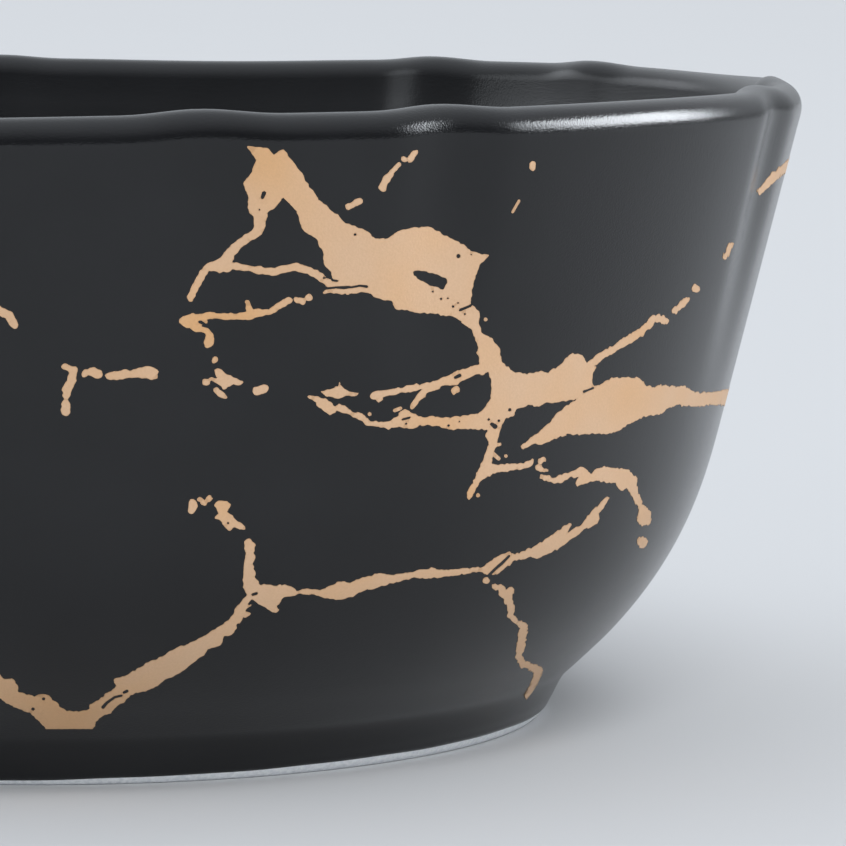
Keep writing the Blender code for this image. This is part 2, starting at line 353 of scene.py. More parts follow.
# The gilding on the outside. Outlines are in photo pixels: x, y. Strokes add a width: x, y, width.
photoOutlines = {
    "crown": [
        (247, 147), (268, 148), (274, 154), (283, 149), (289, 156), (305, 179), (318, 200), (332, 211),
        (347, 224), (364, 229), (376, 239), (387, 239), (402, 231), (414, 227), (429, 227), (443, 235),
        (460, 243), (471, 251), (483, 254), (490, 254.5), (487, 258), (481, 263), (475, 278), (472, 290),
        (471, 303), (479, 312), (480, 332), (492, 338), (498, 349), (501, 361), (480, 361), (479, 347),
        (471, 328), (464, 324), (452, 316), (433, 313.5), (414, 311.6), (395, 308), (391, 301), (379.5, 299),
        (368, 291.5), (347, 294.4), (324, 292.5), (331, 285), (330.7, 272.4), (324, 265), (323, 251),
        (316, 238), (301, 228), (297, 211), (283, 197), (278, 203.5), (268, 213), (266, 226.5), (262, 234.5),
        (253, 240), (243, 245.5), (236, 253.5), (230, 262), (223, 258.5), (229.5, 248), (238, 240.5),
        (247.5, 234.5), (254, 227), (253.5, 217.5), (248.5, 209), (249, 198), (244, 182.4), (252.5, 171),
        (256, 159.5),
    ],
    "middle": [
        (478, 353), (480, 365), (489.5, 373.5), (491.4, 386), (491.4, 394), (489, 402), (483, 409.5),
        (477, 414), (479, 429), (487.6, 430), (486.6, 437.6), (488.5, 445), (483.8, 458.6), (479, 468.2),
        (473.2, 481.6), (467, 493), (466.5, 498), (469.4, 501), (472.3, 495), (479, 483.5), (483.8, 478),
        (490.5, 475), (500, 471.5), (515.3, 469.7), (530.6, 467.2), (533, 460), (523, 463.4), (509.6, 464.4),
        (500, 465.3), (490.5, 464), (492.4, 453), (496, 444), (500, 431.8), (504.8, 418.4), (512, 416),
        (517.2, 408.9), (528.7, 405.5), (540, 406), (547, 402), (555.5, 402.5), (566, 400.5), (577, 399),
        (584, 394), (593.5, 388), (591.6, 379), (596, 367), (588.7, 364), (583, 357), (578, 354.5),
        (570, 355.3), (563, 361), (555.5, 368), (547.9, 372.9), (538, 372), (526.8, 373.5), (515.3, 371.6),
        (505.8, 366.8), (501, 361), (490, 350),
    ],
    "wing": [
        (520, 446.5), (528.7, 439.5), (538.3, 432.8), (547.9, 424), (555.5, 414.6), (567, 406), (576.5, 399),
        (586, 391), (594, 387), (605, 382), (611.7, 377.3), (622, 378), (636.5, 377.3), (642, 380),
        (644, 385), (654, 387), (659.5, 385), (672, 387), (684.4, 386.9), (692, 390.7), (698, 393.2),
        (713, 392), (732, 389), (732, 405), (722.6, 405), (705.4, 404.7), (694, 407), (686.3, 405),
        (678.6, 405), (671, 407), (659.5, 413.7), (642.3, 417.5), (627, 424), (615.5, 431.5), (609.7, 433.7),
        (598.3, 432.8), (583, 434), (567.7, 433.7), (553.6, 438.5), (544, 444.3), (532.5, 443.3), (523, 449),
    ],
    "lowBranch": [
        (307.7, 394), (316.4, 395.5), (326, 399.3), (334.5, 406), (339.3, 403), (352.7, 411.7),
        (362.3, 413.7), (371.8, 421.3), (383.3, 422.7), (391, 420.4), (398.6, 415.6), (405.3, 408.5),
        (411, 413.7), (419.7, 417), (442.6, 418), (463.7, 415.6), (475, 414.6), (484, 410.5), (496, 416),
        (494, 429), (463.7, 428.4), (450.3, 429), (438.8, 426), (419.7, 424.5), (412, 428.4), (398.6, 426),
        (389, 427.6), (375.7, 426.5), (366, 424), (356.5, 418.4), (347, 413.7), (337.4, 411), (329.7, 414.6),
        (324, 410.8), (315.4, 406), (315.4, 401), (305.8, 397.4),
    ],
    "arrow": [
        (319.2, 391.3), (329.7, 389.4), (337.4, 386), (339.7, 382), (343, 387.8), (347, 390.7),
        (358.4, 393.5), (356.5, 396), (346, 395), (339.3, 398), (335.5, 398), (326, 395.5),
    ],
    "arc": [
        (540, 474), (549, 477), (556, 477.5), (566, 473), (572, 471), (581, 467.2), (590.6, 473),
        (596.4, 469.1), (606, 466.7), (617.4, 468.6), (628.9, 470), (632.7, 474), (637.5, 477.8),
        (636.5, 485.4), (639.4, 496.9), (642.3, 501.7), (639.4, 506), (634.6, 504.5), (631.7, 495.9),
        (627, 488.3), (621.2, 491), (617.4, 487.3), (615.5, 483.5), (607.8, 482.5), (598, 479.7),
        (590.6, 482), (583, 484.5), (577.2, 486.4), (574.3, 484.5), (578, 477.5), (571.5, 477.5),
        (560, 482.5), (552, 483), (540, 478),
    ],
    "lowRight": [
        (262, 585), (268, 584.5), (283.8, 584.9), (291.5, 586.8), (297.2, 591), (308.7, 588.7),
        (318.3, 590.6), (325.9, 588.7), (337.4, 582), (348.9, 583), (360.4, 579), (377.6, 573.4),
        (394.8, 575), (414, 571.5), (431, 567.7), (444.5, 570.5), (463.7, 568.6), (480.9, 567.3),
        (488.5, 562.9), (496.2, 556.2), (509.6, 552), (513.4, 555.3), (526.8, 550.5), (534.5, 545.7),
        (546, 539), (555.5, 534.2), (563.2, 527.5), (569, 523.5), (571.2, 525.2), (565, 535.5), (579, 525.6),
        (590.6, 512.2), (596.4, 506.5), (605, 497), (608.5, 498), (598, 514), (599.2, 519), (596.4, 522.7),
        (584.9, 529.4), (571.5, 539), (555.5, 549.5), (534.5, 559), (530.6, 557), (513.4, 561),
        (503.8, 568.6), (496.2, 574.4), (491.4, 574), (486.6, 574), (482.8, 571), (456, 574.4),
        (442.6, 576.3), (431, 578.2), (414, 577.2), (398.6, 582), (387, 584.9), (371.8, 587.8),
        (362.3, 590.6), (352.7, 596.4), (345, 598.3), (335.5, 599.3), (324, 597.3), (314.4, 593.8),
        (297.2, 594), (289.6, 596.4), (283.5, 597.3), (276.5, 606), (279.3, 609.7), (275.5, 613.6),
        (260.2, 604.4), (254.5, 601), (254, 590),
    ],
    "lowLeft": [
        (243.4, 541), (248, 538.5), (256, 544.5), (254, 552), (254.5, 556), (252.5, 564), (255.4, 570),
        (254.5, 577), (260.2, 585), (266, 590), (259, 601), (249.7, 602), (251, 605), (244.9, 611.3),
        (250.6, 612.6), (250.6, 615.5), (243, 617.4), (237.2, 624), (235.3, 628.9), (229.6, 635.6),
        (223.9, 636.5), (220, 644.2), (206.6, 650), (202.8, 655.7), (191.3, 663.3), (179.8, 672.9),
        (164.5, 679.6), (153, 688.2), (135.8, 693), (126.3, 698.7), (114.8, 707.3), (111, 713),
        (101.4, 716), (93.8, 722.6), (94.7, 724.5), (91.8, 728.7), (45.9, 728.7), (40.2, 722.6), (34.4, 715),
        (24.9, 711), (7.7, 703.5), (0, 697.8), (-14, 694), (-30, 683), (-44, 678), (-44, 668), (-28, 666),
        (-12, 671), (0, 674.8), (3.8, 679.6), (11.5, 679.6), (18.2, 685.3), (18.2, 692), (24.9, 694),
        (34.4, 696.2), (45.9, 694), (55.5, 701.6), (61.2, 708.3), (70.8, 712), (80.4, 712), (88, 709.2),
        (90, 705.4), (95.7, 702.5), (107, 694), (117, 685.9), (113.8, 679), (124.4, 675.8), (134, 672),
        (153, 660.4), (170.3, 650.9), (189.4, 642.3), (202.8, 636.5), (212.4, 630.8), (225.8, 622.2),
        (229.6, 617.4), (237.2, 606), (245.9, 594.4), (242, 581), (244.5, 562), (246, 553),
    ],
    "islandBlob": [
        (213.3, 505.5), (216.2, 501.7), (227.7, 501), (231, 504), (226.7, 512.2), (232.5, 515),
        (234.4, 520.8), (243, 523.7), (245.5, 529.4), (243, 531), (234.4, 527.5), (229.6, 530),
        (222, 524.6), (220, 520.8), (214.7, 518), (219, 514), (216.2, 509.3),
    ],
    "fishBlob": [
        (214.3, 369), (217.2, 367.7), (225.8, 373.5), (237.2, 378.3), (242.6, 381.7), (239.2, 385),
        (232.5, 385), (222.9, 389), (218, 384), (210.5, 379.2), (211.4, 377.5), (217, 378),
    ],
}
photoStrokes = {
    "nodeLeft": [(190.5, 298.5, 6.5), (196, 286.5, 7), (201.5, 275, 7), (207, 268, 7.5), (213, 266.5, 9)],
    "nodeBlob": [(213, 266.5, 9), (220, 265, 13), (227, 267, 11)],
    "nodeRight": [
        (220, 267.6, 10), (231.5, 266, 6.5), (248.7, 268.5, 6), (271.7, 272, 6.5),
        (283, 269, 6), (295.3, 267, 6.5), (308.7, 270.5, 6.5), (320, 276, 7), (331.7, 285, 9), (340, 291, 6),
    ],
    "nodeUp": [(221, 265, 9), (226.5, 257, 7.5), (233, 248.5, 7.5), (242, 241.5, 7)],
    "secondVein": [
        (183.5, 320, 8), (190, 318.5, 8), (210.5, 315.4, 6.5), (228, 317, 6), (246.8, 316.4, 7.5),
        (258, 313, 6.5), (269.8, 311.6, 7), (281, 305, 6.5), (289, 301, 6.5),
    ],
    "secondFill": [(188, 322, 8), (195, 323, 7), (206, 322, 5)],
    "secondSpur": [(250, 312, 6), (247.3, 302.5, 5.5)],
    "secondDown": [
        (184, 321, 7), (188.5, 325.5, 7), (197, 328.5, 6.5), (204.7, 330, 7), (210.5, 335, 7.5),
        (208.5, 342, 10),
    ],
    "secondDotA": [(297, 300.4, 6.2), (301.5, 301.3, 6.8)],
    "secondDotB": [(308.6, 297.6, 5.8)],
    "leftScrap": [(-8, 308, 6), (0, 310.6, 8), (8.6, 314.5, 8), (14.3, 324, 7)],
    "dashA": [(348, 206.5, 6.4), (360, 200.8, 5)],
    "dashB": [(382.5, 187.5, 6.5), (388, 177, 6), (393.5, 170, 5), (398.3, 165.3, 5)],
    "dashC": [(404.7, 158.4, 5.8)],
    "dashD": [(410.3, 159, 6.4), (415.3, 152.6, 6)],
    "ovalTop": [(532.5, 164.5, 5), (532.5, 168.5, 5)],
    "ell": [(65, 366.8, 6), (74, 370.6, 7), (71.7, 378.3, 10), (67, 389.7, 9.5), (66, 395.5, 7)],
    "ellFoot": [(64.7, 404, 9), (66, 412, 7)],
    "ellDotA": [(84.8, 373, 6)],
    "ellDotB": [(92.8, 371.6, 8.5), (98.5, 374, 8)],
    "bar": [(109, 375.5, 7), (120, 374.5, 8.5), (135, 373.5, 8.5), (148, 372, 10.5), (152, 373.5, 11)],
    "fishDotA": [(214.7, 359.7, 6)],
    "fishDotB": [(205.7, 382.7, 7)],
    "fishFin": [(216.2, 389.7, 5), (220, 393.6, 5.5), (224.8, 396.6, 4.5)],
    "fishOval": [(257.3, 391.3, 7.5), (264, 389, 8)],
    "upperBranch": [
        (486, 368, 10), (475, 370, 8), (465, 374, 9), (456, 378, 12), (448, 380.5, 9), (438, 383.5, 6.5),
        (423.5, 386, 6), (404, 389.5, 5.5), (387, 393, 5.5), (375, 394.5, 6.5), (373, 396.5, 5),
    ],
    "upperDot": [(379.5, 399, 5.5)],
    "link": [(438, 385, 6), (424, 391.5, 6), (417.5, 399, 5.5), (412, 406.5, 4.5)],
    "linkBlob": [(453, 391.3, 5), (457, 389, 5.5)],
    "stemSpur": [(492, 446, 4), (500, 444.3, 3)],
    "stemDot": [(478, 495.4, 4)],
    "arcBitA": [(540, 461, 5), (544, 459.6, 4)],
    "arcBitB": [(537.5, 467.5, 4), (541, 469.5, 5.5), (546, 470, 4)],
    "risingVein": [
        (590, 364, 8), (602, 355.5, 6.5), (617.4, 346.5, 6), (636.5, 335, 7.5), (645, 328, 6.5),
        (653.5, 319.5, 7), (660, 318.5, 7.5), (666, 321, 5),
    ],
    "risingDash": [(674.5, 311, 5.5), (686.5, 300, 5.5)],
    "risingDot": [(695.5, 288.6, 7.5)],
    "arcDrop": [(641, 507, 5), (643.6, 513, 12), (643.8, 519, 13)],
    "arcDropLow": [(643, 542.5, 11)],
    "islandOval": [(191.5, 510, 7), (193.5, 504.5, 9)],
    "islandBit": [(199.5, 500, 4), (204.5, 503.5, 4.5)],
    "islandDot": [(209, 498.4, 6)],
    "forkDot": [(486.3, 580.7, 6)],
    "fallingVein": [
        (494.5, 586, 6.5), (499, 587.5, 6.5), (507.5, 597.5, 8.5), (511, 607.5, 7), (511, 615.5, 6.5),
        (517.2, 622.5, 5.5), (524, 626, 7), (522.5, 633, 7), (520.5, 645, 7), (518.5, 656, 6.5),
        (523, 664.5, 5.5), (532, 667, 6), (538.5, 670.5, 7), (534.5, 682.5, 6), (526.8, 696, 4.5),
    ],
    "fallingSpur": [(510.5, 590, 6), (508, 597, 6)],
    "edgeStreak": [(760, 191, 6), (775, 176, 7.5), (790, 163, 6)],
    "edgeDash": [(725, 257, 4), (731, 245, 4)],
}
photoHoles = {
    "crownEyeA": [(264, 193, 4.4), (262.3, 197.5, 3.6)],
    "crownEyeLow": [(259.3, 209.6, 2.4)],
    "crownEyeB": [(355, 234.5, 3)],
    "crownEyeC": [(458.3, 256, 4.4)],
    "crownEyeD": [(471, 254.6, 2.2)],
    "crownSlit": [(327, 288.4, 2.4), (336, 287.4, 2.2), (344, 287.6, 3.4), (349.5, 287, 2.6)],
    "crownSlitB": [(351, 287.3, 2.2), (360, 285.6, 2.2), (367, 286.6, 2.8)],
    "crownPin": [(324, 277.8, 2.8)],
    "crownDash": [(332.5, 280.2, 2.4), (337.5, 281, 2.2)],
    "neckPinA": [(432.7, 291.5, 2.6)],
    "neckPinB": [(441, 298.8, 3)],
    "neckPinC": [(447.8, 298.2, 2.4)],
    "neckPinD": [(453, 306.4, 3)],
    "neckPinE": [(458, 303, 2.4)],
    "neckCrack": [(460, 310, 3), (471, 305.5, 2.4)],
    "neckPinF": [(464.6, 314, 2.6)],
    "branchEye": [(455, 377.5, 3), (459.5, 375.5, 4)],
    "stemPinA": [(488.5, 419.4, 3)],
    "stemEye": [(491.5, 424, 3.5), (495, 426.5, 5)],
    "stemPinB": [(498.7, 420.7, 3)],
    "middlePin": [(509.6, 409.8, 3.6)],
    "lowCrack": [(402.5, 419.4, 2.4), (409.5, 417.6, 2.4)],
    "lowPinA": [(406, 423.6, 2.8)],
    "lowPinB": [(448.4, 425.5, 3)],
    "lowPinC": [(459, 421.3, 2.2)],
    "wingSlit": [(584, 391.5, 3), (588, 390, 2), (593, 388, 2.4)],
    "veinHole": [(199.5, 321.8, 3), (203.5, 323.4, 3.2)],
    "slotFork": [(509, 556, 2.6), (502, 563, 3.2), (494.5, 569.5, 3), (489, 575, 3)],
    "footSlit": [(103, 707, 3.6), (107, 702.5, 3), (114.8, 697, 2.6), (121.5, 695.5, 2.6)],
    "footPin": [(124, 692.3, 3), (127, 691, 3.2)],
    "footEyeA": [(43.6, 698.7, 3.4)],
    "footEyeB": [(33, 708.9, 3.6)],
    "junctionEye": [(252.5, 594.5, 2.8), (256.5, 593.3, 3)],
    "junctionSlit": [(249, 604, 2.6), (252, 600.5, 2.6), (256, 603.5, 2.6)],
    "islandPin": [(228, 523, 2.6)],
    "footTrim": [(42, 732.2, 6.6), (100, 732.2, 6.6)],
}
# Laid after the rags, so their edges stay clean.
photoFineStrokes = {
    "dashE": [(512.5, 212, 2.7), (519, 200.6, 2.6)],
    "cornerDot": [(485.5, 319.4, 4)],
    "bitA": [(394.5, 410.5, 3.5), (400.5, 408.2, 3.5)],
    "bitB": [(400, 413.7, 3), (405, 410.5, 3)],
    "bitC": [(369.5, 414, 4)],
    "stemBitA": [(493, 453.5, 4), (498.5, 458.5, 4)],
    "stemBitB": [(505.8, 456, 3.7)],
    "footEdge": [(48.5, 726.4, 4.6), (89.5, 726.4, 4.6)],
}
photoWindow = [
    (411, 270), (424, 270.5), (436, 273.5), (446.5, 276.5), (447.5, 284), (443.8, 290.3), (438, 287.5),
    (428, 286.5), (420, 280.5), (414, 275),
]

# Veins out of the photo's sight: degrees round from the front, millimetres up, width in millimetres.
hiddenStrokes = {
    "wingOn": [
        (79, 43.8, 2.0), (82.6, 43.8, 2.1), (86, 44.6, 1.6), (90, 47, 2.6), (97, 51, 4.4), (103, 55, 3.0),
        (109, 57, 1.2),
    ],
    "wingFork": [(95, 49, 2.2), (99, 44, 1.4), (103, 37, 1.0), (104, 30, 1.5), (108, 23, 1.0)],
    "highOn": [(80.5, 75.1, 1.7), (85, 76.2, 1.5), (90, 78.3, 1.0), (94, 79.2, 0.7)],
    "backStem": [
        (146, 82, 2.2), (148, 74, 1.4), (151, 66, 1.2), (158, 60, 2.2), (166, 57, 3.4), (174, 52, 2.0),
    ],
    "backFall": [
        (174, 52, 2.0), (179, 45, 1.2), (181, 36, 1.2), (186, 28, 1.8), (189, 19, 1.0), (196, 12, 1.4),
    ],
    "backTwig": [(160, 60, 1.4), (157, 52, 1.0), (150, 46, 0.8), (143, 44, 1.4), (136, 39, 0.8)],
    "backRise": [(174, 52, 1.4), (183, 56, 1.0), (190, 62, 0.8), (193, 69, 1.4)],
    "backDash": [(122, 71, 1.0), (126, 73, 1.3), (130, 73.5, 0.8)],
    "backBar": [(118, 33, 0.9), (125, 31, 1.4), (131, 31, 1.1)],
    "leftStem": [
        (250, 81, 1.6), (252, 72, 1.0), (249, 62, 1.3), (254, 54, 2.6), (262, 49, 3.6), (271, 47, 1.6),
    ],
    "leftRun": [(271, 47, 1.6), (279, 50, 1.0), (287, 50, 0.8), (294, 53, 1.2), (300, 54, 0.8)],
    "leftFall": [
        (258, 51, 1.8), (256, 42, 1.0), (260, 33, 1.0), (268, 25, 2.0), (275, 17, 1.2), (283, 9, 1.6),
    ],
    "leftBack": [(249, 62, 1.0), (241, 58, 0.8), (232, 59, 1.2), (225, 55, 0.8)],
    "leftFoot": [(303, 18, 1.1), (308, 15, 1.2), (314, 13.5, 1.4)],
    "leftBit": [(219, 36, 1.0), (223, 38, 1.8), (227, 37, 0.9)],
    "scrapOn": [(353.6, 62.2, 0.9), (349, 62.5, 1.1), (342, 66, 0.8), (335, 67, 1.5), (328, 71, 0.8)],
    "scrapTwig": [(336, 67, 1.0), (331, 61, 0.8), (325, 59, 1.1), (319, 55, 0.8)],
    "footOn": [(349, 16.4, 1.6), (342, 18, 2.2), (334, 16.5, 1.2), (325, 19, 0.9), (320, 18, 1.3)],
    "footTwig": [(341, 18, 1.1), (337, 26, 0.8), (338, 33, 1.2), (333, 39, 0.8)],
}
hiddenDots = [
    (112, 58, 1.1), (115, 59.5, 0.8), (108, 20, 0.9), (98, 79.6, 0.7), (134, 73, 0.8), (131, 38, 1.0),
    (146, 79, 0.8), (195, 72, 0.9), (196, 75, 0.6), (192, 30, 0.8), (112, 34, 1.0), (137, 31.5, 0.7),
    (222, 53.5, 1.0), (214, 36, 0.8), (231, 37, 0.7), (304, 54, 0.9), (247, 74, 0.8), (265, 34, 0.8),
    (299, 19, 0.8), (169, 49, 0.9), (171, 47, 0.6), (96, 57, 0.9), (262, 54.5, 0.9), (266, 55.5, 0.6),
    (324, 72.5, 0.9), (330, 41, 0.9), (315, 54, 0.7), (345, 60, 0.8),
]
# Where the photo's gilding is warmer: pixel x, y, reach and how much.
warmSpots = {
    "crownTip": (264, 160, 38, 0.8),
    "secondVeinLeft": (196, 326, 30, 1.0),
    "secondVeinMiddle": (245, 314, 34, 0.9),
    "lowBranch": (440, 424, 34, 0.6),
    "stemTail": (470, 494, 14, 0.8),
    "wingHeart": (625, 398, 26, 0.5),
    "risingBend": (640, 334, 16, 0.6),
    "foot": (60, 716, 60, 0.6),
    "islands": (222, 505, 18, 0.5),
    "neck": (395, 300, 20, 0.3),
}
gilding = {
    "radius": 88.0 * mm,
    "seamAngle": math.radians(-152),
    "cell": 0.2 * mm,
    "photoScale": 8.0 / mm,
    "photoMargin": 12,
    "wallMargin": 2 * mm,
    "outOfSight": -9999.0,
    "farOutside": -5 * mm,
    "slopeStep": 0.4 * mm,
    "rags": [(1.6 * mm, 0.09 * mm), (0.62 * mm, 0.11 * mm), (0.36 * mm, 0.10 * mm)],
    "swell": 0.03 * mm,
    "lift": 0.035 * mm,
    "thickness": 0.06 * mm,
    "edgeBand": (0.12 * mm, 0.5 * mm),
    "edgeSpacing": 0.5 * mm,
    "innerSpacing": 1.8 * mm,
    "rowShare": 0.87,  # rows of staggered points stand this much closer than columns
    "cornerGap": 0.06,  # share of a cell that edge points keep from its corners
    "weldCells": 0.0001,
    "sharpAngle": math.radians(40),
}


def wallTrack():
    # radius, height and length along the outside, from the foot up to the lip's widest place
    points = np.array(outsidePoints() + lipPoints()[: bowlBody["lipNeckRows"]])
    along = np.concatenate([[0.0], np.cumsum(np.hypot(*np.diff(points, axis=0).T))])
    return points[:, 0], points[:, 1], along


def onWall(u, v, track, lift=0.0):
    radii, heights, along = track
    radius, z = np.interp(v, along, radii), np.interp(v, along, heights)
    step = gilding["slopeStep"]
    overR = np.interp(v + step, along, radii) - np.interp(v - step, along, radii)
    overZ = np.interp(v + step, along, heights) - np.interp(v - step, along, heights)
    length = np.hypot(overR, overZ)
    radius = radius + lift * overZ / length
    z = z - lift * overR / length
    return placed(radius, u / gilding["radius"], z)


def photoPixels(points):
    right, up, forward = (np.array(axis) for axis in cameraAxes())
    away = points - np.array(photoCamera["place"])
    depth = away @ forward
    middle = photoCamera["imagePixels"] / 2
    x = middle + photoCamera["focalPixels"] * (away @ right) / depth
    y = middle - photoCamera["focalPixels"] * (away @ up) / depth
    return x, y


def insideBy(x, y, outline):
    # distance inside an outline, negative outside it
    nearest = np.full(x.shape, np.inf)
    inside = np.zeros(x.shape, bool)
    for (ax, ay), (bx, by) in zip(outline, outline[1:] + outline[:1]):
        ex, ey = bx - ax, by - ay
        share = np.clip(((x - ax) * ex + (y - ay) * ey) / (ex * ex + ey * ey), 0, 1)
        nearest = np.minimum(nearest, (x - ax - ex * share) ** 2 + (y - ay - ey * share) ** 2)
        if ay != by:
            inside ^= ((ay <= y) != (by <= y)) & (x < ax + (y - ay) * ex / ey)
    return np.where(inside, 1, -1) * np.sqrt(nearest)


def strokeBy(x, y, points):
    # distance inside a run of round-ended, tapering strokes; a single point is a dot
    best = np.full(x.shape, -np.inf)
    for (ax, ay, aWidth), (bx, by, bWidth) in zip(points, points[1:] or points):
        ex, ey = bx - ax, by - ay
        length = max(ex * ex + ey * ey, sys.float_info.min)
        share = np.clip(((x - ax) * ex + (y - ay) * ey) / length, 0, 1)
        away = np.hypot(x - ax - ex * share, y - ay - ey * share)
        best = np.maximum(best, (aWidth + (bWidth - aWidth) * share) / 2 - away)
    return best


def smoothNoise(shape, spacing, seed):
    # random heights between -1 and 1 on a coarse net, eased in between
    rows, columns = (int(count / spacing) + 3 for count in shape)
    net = np.random.default_rng(seed).uniform(-1, 1, (rows, columns))
    y, x = (np.arange(count) / spacing for count in shape)
    row, column = y.astype(int), x.astype(int)
    fy, fx = (y - row)[:, None], (x - column)[None, :]
    fy, fx = fy * fy * (3 - 2 * fy), fx * fx * (3 - 2 * fx)
    low = net[row][:, column] * (1 - fx) + net[row][:, column + 1] * fx
    high = net[row + 1][:, column] * (1 - fx) + net[row + 1][:, column + 1] * fx
    return low * (1 - fy) + high * fy


def mergeShape(field, x, y, points, measure, scale, cut=False):
    # works only on the cells round the shape
    xs, ys = [p[0] for p in points], [p[1] for p in points]
    margin = gilding["wallMargin"] if scale == 1 else gilding["photoMargin"]
    if len(points[0]) == 3:
        margin += max(p[2] for p in points)
    near = (x > min(xs) - margin) & (x < max(xs) + margin) & (y > min(ys) - margin) & (y < max(ys) + margin)
    depth = measure(x[near], y[near], points) / scale
    field[near] = np.minimum(field[near], -depth) if cut else np.maximum(field[near], depth)


def gildedField(track):
    # how far inside the gilding each cell of the unrolled wall lies, in metres
    cell = gilding["cell"]
    start = gilding["seamAngle"] * gilding["radius"]
    u = start + np.arange(int(math.tau * gilding["radius"] / cell)) * cell
    v = np.arange(int(track[2][-1] / cell)) * cell
    gridU, gridV = np.meshgrid(u, v)
    wall = onWall(gridU, gridV, track)
    facing = onWall(gridU, gridV, track, mm) - wall
    seen = ((np.array(photoCamera["place"]) - wall) * facing).sum(axis=-1) > 0
    x, y = photoPixels(wall)
    x = np.where(seen, x, gilding["outOfSight"])
    field = np.full(gridU.shape, gilding["farOutside"])
    scale = gilding["photoScale"]
    for outline in photoOutlines.values():
        mergeShape(field, x, y, outline, insideBy, scale)
    for stroke in photoStrokes.values():
        mergeShape(field, x, y, stroke, strokeBy, scale)
    mergeShape(field, x, y, photoWindow, insideBy, scale, True)

    def unrolled(points):
        return [
            (math.radians(angle) * gilding["radius"], np.interp(height * mm, track[1], track[2]), width * mm)
            for angle, height, width in points
        ]

    half = math.tau * gilding["radius"]
    for stroke in list(hiddenStrokes.values()) + [[dot] for dot in hiddenDots]:
        points = unrolled(stroke)
        shift = half if points[0][0] > u[-1] else 0.0
        mergeShape(field, gridU, gridV, [(a - shift, b, w) for a, b, w in points], strokeBy, 1.0)

    field += gilding["swell"]
    for seed, (spacing, size) in enumerate(gilding["rags"]):
        field += size * smoothNoise(field.shape, spacing / cell, seed + 3)
    for stroke in photoFineStrokes.values():
        mergeShape(field, x, y, stroke, strokeBy, scale)
    for hole in photoHoles.values():
        mergeShape(field, x, y, hole, strokeBy, scale, True)
    return field, u, v


def gridValue(field, u, v, us, vs):
    # the field between its cells
    x = np.clip((us - u[0]) / (u[1] - u[0]), 0, field.shape[1] - 1.001)
    y = np.clip((vs - v[0]) / (v[1] - v[0]), 0, field.shape[0] - 1.001)
    column, row = x.astype(int), y.astype(int)
    fx, fy = x - column, y - row
    low = field[row, column] * (1 - fx) + field[row, column + 1] * fx
    high = field[row + 1, column] * (1 - fx) + field[row + 1, column + 1] * fx
    return low * (1 - fy) + high * fy


def edgeLines(field, u, v):
    # points where the field passes zero on the cells' sides, and the lines that join them
    inside = field > 0
    flat = np.full(field.shape, -1)
    tall = np.full(field.shape, -1)
    row, column = np.nonzero(inside[:, :-1] != inside[:, 1:])
    gap = gilding["cornerGap"]
    share = np.clip(field[row, column] / (field[row, column] - field[row, column + 1]), gap, 1 - gap)
    flat[row, column] = np.arange(len(row))
    points = [np.stack([u[column] + share * (u[1] - u[0]), v[row]], axis=-1)]
    count = len(row)
    row, column = np.nonzero(inside[:-1] != inside[1:])
    share = np.clip(field[row, column] / (field[row, column] - field[row + 1, column]), gap, 1 - gap)
    tall[row, column] = count + np.arange(len(row))
    points.append(np.stack([u[column], v[row] + share * (v[1] - v[0])], axis=-1))
    sides = np.stack([flat[:-1, :-1], tall[:-1, 1:], flat[1:, :-1], tall[:-1, :-1]])
    crossed = (sides >= 0).sum(axis=0)
    pairs = np.sort(sides[:, crossed == 2], axis=0)[2:].T
    bottom, right, top, left = sides[:, crossed == 4]
    lines = np.concatenate([pairs, np.stack([bottom, right], 1), np.stack([top, left], 1)])
    return np.concatenate(points), lines


def fillPoints(field, u, v):
    # staggered points inside the gilding, closer together near its edges
    near, deep = gilding["edgeBand"]
    found = []
    for spacing, low, high in ((gilding["edgeSpacing"], near, deep), (gilding["innerSpacing"], deep, 1.0)):
        rows = np.arange(v[0], v[-1], spacing * gilding["rowShare"])
        across, up = np.meshgrid(np.arange(u[0], u[-1], spacing), rows)
        across = across + spacing / 2 * (np.arange(across.shape[0]) % 2)[:, None]
        depth = gridValue(field, u, v, across.ravel(), up.ravel())
        wanted = (depth > low) & (depth <= high)
        found.append(np.stack([across.ravel()[wanted], up.ravel()[wanted]], axis=-1))
    return np.concatenate(found)


